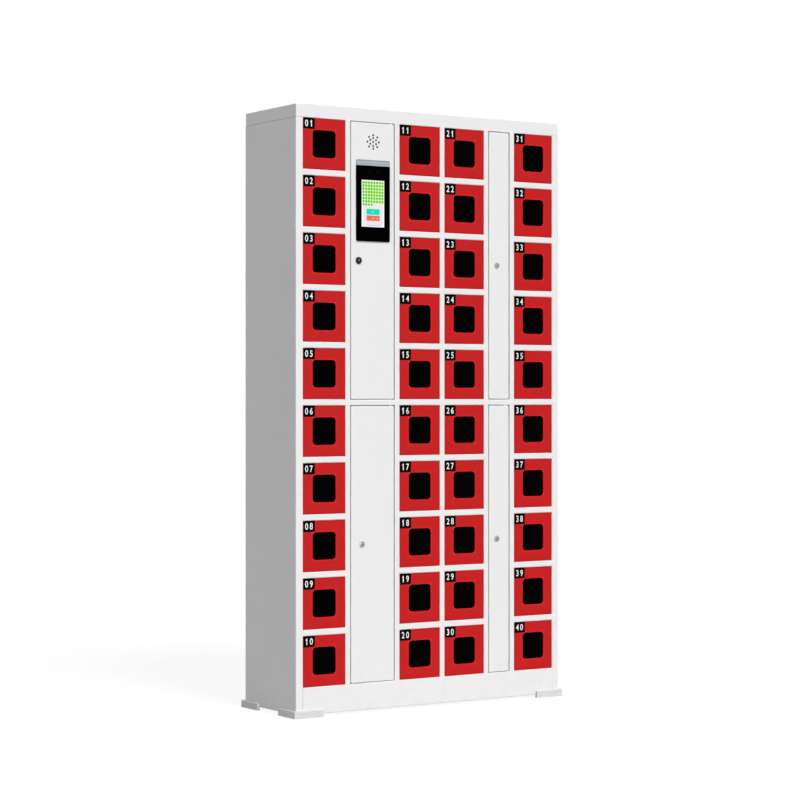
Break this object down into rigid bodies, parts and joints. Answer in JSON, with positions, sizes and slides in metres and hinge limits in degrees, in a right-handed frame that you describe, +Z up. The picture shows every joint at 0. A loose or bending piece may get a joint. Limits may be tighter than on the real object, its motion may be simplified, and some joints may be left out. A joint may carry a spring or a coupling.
{
  "type": "cell phone locker",
  "caption": "Tall steel phone locker: small red numbered cell doors with dark windows, white service doors and a touch terminal.",
  "frame": {"origin": "on the floor, at the centre of the cabinet's footprint", "axes": "+Z up, the doors face -Y, +X to the right as seen from the front"},
  "size_m": [0.982, 0.326, 1.81],
  "materials": {
    "door_red_paint": "smooth red powder coat, satin",
    "cabinet_white_paint": "fine textured white powder coat, satin",
    "foot_grey": "matt moulded plastic",
    "lock_case": "matt dark moulded case",
    "case_grey": "matt grey case",
    "terminal_aluminium": "fine blasted, blue-grey",
    "terminal_glass": "black glass with a lit display",
    "speaker_black": "matt black",
    "lock_chrome": "polished"
  },
  "bodies": {
    "cabinet": {"side_panels": "cabinet_white_paint", "back_panel": "cabinet_white_paint", "top_cap": "cabinet_white_paint", "base_pan": "cabinet_white_paint", "front_frame": "cabinet_white_paint", "cell_walls": "cabinet_white_paint", "corner_feet": "foot_grey", "electric_locks": "lock_case", "control_electronics": "case_grey"},
    "door_01": {"door_01": "door_red_paint"},
    "door_02": {"door_02": "door_red_paint"},
    "door_03": {"door_03": "door_red_paint"},
    "door_04": {"door_04": "door_red_paint"},
    "door_05": {"door_05": "door_red_paint"},
    "door_06": {"door_06": "door_red_paint"},
    "door_07": {"door_07": "door_red_paint"},
    "door_08": {"door_08": "door_red_paint"},
    "door_09": {"door_09": "door_red_paint"},
    "door_10": {"door_10": "door_red_paint"},
    "door_11": {"door_11": "door_red_paint"},
    "door_12": {"door_12": "door_red_paint"},
    "door_13": {"door_13": "door_red_paint"},
    "door_14": {"door_14": "door_red_paint"},
    "door_15": {"door_15": "door_red_paint"},
    "door_16": {"door_16": "door_red_paint"},
    "door_17": {"door_17": "door_red_paint"},
    "door_18": {"door_18": "door_red_paint"},
    "door_19": {"door_19": "door_red_paint"},
    "door_20": {"door_20": "door_red_paint"},
    "door_21": {"door_21": "door_red_paint"},
    "door_22": {"door_22": "door_red_paint"},
    "door_23": {"door_23": "door_red_paint"},
    "door_24": {"door_24": "door_red_paint"},
    "door_25": {"door_25": "door_red_paint"},
    "door_26": {"door_26": "door_red_paint"},
    "door_27": {"door_27": "door_red_paint"},
    "door_28": {"door_28": "door_red_paint"},
    "door_29": {"door_29": "door_red_paint"},
    "door_30": {"door_30": "door_red_paint"},
    "door_31": {"door_31": "door_red_paint"},
    "door_32": {"door_32": "door_red_paint"},
    "door_33": {"door_33": "door_red_paint"},
    "door_34": {"door_34": "door_red_paint"},
    "door_35": {"door_35": "door_red_paint"},
    "door_36": {"door_36": "door_red_paint"},
    "door_37": {"door_37": "door_red_paint"},
    "door_38": {"door_38": "door_red_paint"},
    "door_39": {"door_39": "door_red_paint"},
    "door_40": {"door_40": "door_red_paint"},
    "service_door_upper_wide": {"service_door_upper_wide": "cabinet_white_paint", "terminal_housing": "terminal_aluminium", "terminal_screen": "terminal_glass", "speaker": "speaker_black"},
    "service_door_lower_wide": {"service_door_lower_wide": "cabinet_white_paint"},
    "service_door_upper_narrow": {"service_door_upper_narrow": "cabinet_white_paint"},
    "service_door_lower_narrow": {"service_door_lower_narrow": "cabinet_white_paint"},
    "key_plug_upper_wide": {"key_plug_upper_wide": "lock_chrome"},
    "key_plug_lower_wide": {"key_plug_lower_wide": "lock_chrome"},
    "key_plug_upper_narrow": {"key_plug_upper_narrow": "lock_chrome"},
    "key_plug_lower_narrow": {"key_plug_lower_narrow": "lock_chrome"}
  },
  "joints": [
    {"name": "door_01_hinge", "type": "hinge", "parent": "cabinet", "child": "door_01", "pos_m": [-0.4485, -0.1475, 1.695], "axis": [0, 0, -1], "range_deg": [0, 90]},
    {"name": "door_02_hinge", "type": "hinge", "parent": "cabinet", "child": "door_02", "pos_m": [-0.4485, -0.1475, 1.525], "axis": [0, 0, -1], "range_deg": [0, 90]},
    {"name": "door_03_hinge", "type": "hinge", "parent": "cabinet", "child": "door_03", "pos_m": [-0.4485, -0.1475, 1.355], "axis": [0, 0, -1], "range_deg": [0, 90]},
    {"name": "door_04_hinge", "type": "hinge", "parent": "cabinet", "child": "door_04", "pos_m": [-0.4485, -0.1475, 1.185], "axis": [0, 0, -1], "range_deg": [0, 90]},
    {"name": "door_05_hinge", "type": "hinge", "parent": "cabinet", "child": "door_05", "pos_m": [-0.4485, -0.1475, 1.015], "axis": [0, 0, -1], "range_deg": [0, 90]},
    {"name": "door_06_hinge", "type": "hinge", "parent": "cabinet", "child": "door_06", "pos_m": [-0.4485, -0.1475, 0.845], "axis": [0, 0, -1], "range_deg": [0, 90]},
    {"name": "door_07_hinge", "type": "hinge", "parent": "cabinet", "child": "door_07", "pos_m": [-0.4485, -0.1475, 0.675], "axis": [0, 0, -1], "range_deg": [0, 90]},
    {"name": "door_08_hinge", "type": "hinge", "parent": "cabinet", "child": "door_08", "pos_m": [-0.4485, -0.1475, 0.505], "axis": [0, 0, -1], "range_deg": [0, 90]},
    {"name": "door_09_hinge", "type": "hinge", "parent": "cabinet", "child": "door_09", "pos_m": [-0.4485, -0.1475, 0.335], "axis": [0, 0, -1], "range_deg": [0, 90]},
    {"name": "door_10_hinge", "type": "hinge", "parent": "cabinet", "child": "door_10", "pos_m": [-0.4485, -0.1475, 0.165], "axis": [0, 0, -1], "range_deg": [0, 90]},
    {"name": "door_11_hinge", "type": "hinge", "parent": "cabinet", "child": "door_11", "pos_m": [0.0215, -0.1475, 1.695], "axis": [0, 0, 1], "range_deg": [0, 90]},
    {"name": "door_12_hinge", "type": "hinge", "parent": "cabinet", "child": "door_12", "pos_m": [0.0215, -0.1475, 1.525], "axis": [0, 0, 1], "range_deg": [0, 90]},
    {"name": "door_13_hinge", "type": "hinge", "parent": "cabinet", "child": "door_13", "pos_m": [0.0215, -0.1475, 1.355], "axis": [0, 0, 1], "range_deg": [0, 90]},
    {"name": "door_14_hinge", "type": "hinge", "parent": "cabinet", "child": "door_14", "pos_m": [0.0215, -0.1475, 1.185], "axis": [0, 0, 1], "range_deg": [0, 90]},
    {"name": "door_15_hinge", "type": "hinge", "parent": "cabinet", "child": "door_15", "pos_m": [0.0215, -0.1475, 1.015], "axis": [0, 0, 1], "range_deg": [0, 90]},
    {"name": "door_16_hinge", "type": "hinge", "parent": "cabinet", "child": "door_16", "pos_m": [0.0215, -0.1475, 0.845], "axis": [0, 0, 1], "range_deg": [0, 90]},
    {"name": "door_17_hinge", "type": "hinge", "parent": "cabinet", "child": "door_17", "pos_m": [0.0215, -0.1475, 0.675], "axis": [0, 0, 1], "range_deg": [0, 90]},
    {"name": "door_18_hinge", "type": "hinge", "parent": "cabinet", "child": "door_18", "pos_m": [0.0215, -0.1475, 0.505], "axis": [0, 0, 1], "range_deg": [0, 90]},
    {"name": "door_19_hinge", "type": "hinge", "parent": "cabinet", "child": "door_19", "pos_m": [0.0215, -0.1475, 0.335], "axis": [0, 0, 1], "range_deg": [0, 90]},
    {"name": "door_20_hinge", "type": "hinge", "parent": "cabinet", "child": "door_20", "pos_m": [0.0215, -0.1475, 0.165], "axis": [0, 0, 1], "range_deg": [0, 90]},
    {"name": "door_21_hinge", "type": "hinge", "parent": "cabinet", "child": "door_21", "pos_m": [0.0555, -0.1475, 1.695], "axis": [0, 0, -1], "range_deg": [0, 90]},
    {"name": "door_22_hinge", "type": "hinge", "parent": "cabinet", "child": "door_22", "pos_m": [0.0555, -0.1475, 1.525], "axis": [0, 0, -1], "range_deg": [0, 90]},
    {"name": "door_23_hinge", "type": "hinge", "parent": "cabinet", "child": "door_23", "pos_m": [0.0555, -0.1475, 1.355], "axis": [0, 0, -1], "range_deg": [0, 90]},
    {"name": "door_24_hinge", "type": "hinge", "parent": "cabinet", "child": "door_24", "pos_m": [0.0555, -0.1475, 1.185], "axis": [0, 0, -1], "range_deg": [0, 90]},
    {"name": "door_25_hinge", "type": "hinge", "parent": "cabinet", "child": "door_25", "pos_m": [0.0555, -0.1475, 1.015], "axis": [0, 0, -1], "range_deg": [0, 90]},
    {"name": "door_26_hinge", "type": "hinge", "parent": "cabinet", "child": "door_26", "pos_m": [0.0555, -0.1475, 0.845], "axis": [0, 0, -1], "range_deg": [0, 90]},
    {"name": "door_27_hinge", "type": "hinge", "parent": "cabinet", "child": "door_27", "pos_m": [0.0555, -0.1475, 0.675], "axis": [0, 0, -1], "range_deg": [0, 90]},
    {"name": "door_28_hinge", "type": "hinge", "parent": "cabinet", "child": "door_28", "pos_m": [0.0555, -0.1475, 0.505], "axis": [0, 0, -1], "range_deg": [0, 90]},
    {"name": "door_29_hinge", "type": "hinge", "parent": "cabinet", "child": "door_29", "pos_m": [0.0555, -0.1475, 0.335], "axis": [0, 0, -1], "range_deg": [0, 90]},
    {"name": "door_30_hinge", "type": "hinge", "parent": "cabinet", "child": "door_30", "pos_m": [0.0555, -0.1475, 0.165], "axis": [0, 0, -1], "range_deg": [0, 90]},
    {"name": "door_31_hinge", "type": "hinge", "parent": "cabinet", "child": "door_31", "pos_m": [0.4485, -0.1475, 1.695], "axis": [0, 0, 1], "range_deg": [0, 90]},
    {"name": "door_32_hinge", "type": "hinge", "parent": "cabinet", "child": "door_32", "pos_m": [0.4485, -0.1475, 1.525], "axis": [0, 0, 1], "range_deg": [0, 90]},
    {"name": "door_33_hinge", "type": "hinge", "parent": "cabinet", "child": "door_33", "pos_m": [0.4485, -0.1475, 1.355], "axis": [0, 0, 1], "range_deg": [0, 90]},
    {"name": "door_34_hinge", "type": "hinge", "parent": "cabinet", "child": "door_34", "pos_m": [0.4485, -0.1475, 1.185], "axis": [0, 0, 1], "range_deg": [0, 90]},
    {"name": "door_35_hinge", "type": "hinge", "parent": "cabinet", "child": "door_35", "pos_m": [0.4485, -0.1475, 1.015], "axis": [0, 0, 1], "range_deg": [0, 90]},
    {"name": "door_36_hinge", "type": "hinge", "parent": "cabinet", "child": "door_36", "pos_m": [0.4485, -0.1475, 0.845], "axis": [0, 0, 1], "range_deg": [0, 90]},
    {"name": "door_37_hinge", "type": "hinge", "parent": "cabinet", "child": "door_37", "pos_m": [0.4485, -0.1475, 0.675], "axis": [0, 0, 1], "range_deg": [0, 90]},
    {"name": "door_38_hinge", "type": "hinge", "parent": "cabinet", "child": "door_38", "pos_m": [0.4485, -0.1475, 0.505], "axis": [0, 0, 1], "range_deg": [0, 90]},
    {"name": "door_39_hinge", "type": "hinge", "parent": "cabinet", "child": "door_39", "pos_m": [0.4485, -0.1475, 0.335], "axis": [0, 0, 1], "range_deg": [0, 90]},
    {"name": "door_40_hinge", "type": "hinge", "parent": "cabinet", "child": "door_40", "pos_m": [0.4485, -0.1475, 0.165], "axis": [0, 0, 1], "range_deg": [0, 90]},
    {"name": "service_door_upper_wide_hinge", "type": "hinge", "parent": "cabinet", "child": "service_door_upper_wide", "pos_m": [-0.1475, -0.1465, 1.3545], "axis": [0, 0, 1], "range_deg": [0, 105]},
    {"name": "service_door_lower_wide_hinge", "type": "hinge", "parent": "cabinet", "child": "service_door_lower_wide", "pos_m": [-0.1475, -0.1465, 0.505], "axis": [0, 0, 1], "range_deg": [0, 105]},
    {"name": "service_door_upper_narrow_hinge", "type": "hinge", "parent": "cabinet", "child": "service_door_upper_narrow", "pos_m": [0.2795, -0.1465, 1.3545], "axis": [0, 0, 1], "range_deg": [0, 105]},
    {"name": "service_door_lower_narrow_hinge", "type": "hinge", "parent": "cabinet", "child": "service_door_lower_narrow", "pos_m": [0.2795, -0.1465, 0.505], "axis": [0, 0, 1], "range_deg": [0, 105]},
    {"name": "key_plug_upper_wide_turn", "type": "hinge", "parent": "service_door_upper_wide", "child": "key_plug_upper_wide", "pos_m": [-0.2635, -0.152, 1.3545], "axis": [0, 1, 0], "range_deg": [0, 90]},
    {"name": "key_plug_lower_wide_turn", "type": "hinge", "parent": "service_door_lower_wide", "child": "key_plug_lower_wide", "pos_m": [-0.251, -0.152, 0.505], "axis": [0, 1, 0], "range_deg": [0, 90]},
    {"name": "key_plug_upper_narrow_turn", "type": "hinge", "parent": "service_door_upper_narrow", "child": "key_plug_upper_narrow", "pos_m": [0.243, -0.152, 1.3545], "axis": [0, 1, 0], "range_deg": [0, 90]},
    {"name": "key_plug_lower_narrow_turn", "type": "hinge", "parent": "service_door_lower_narrow", "child": "key_plug_lower_narrow", "pos_m": [0.243, -0.152, 0.505], "axis": [0, 1, 0], "range_deg": [0, 90]}
  ]
}
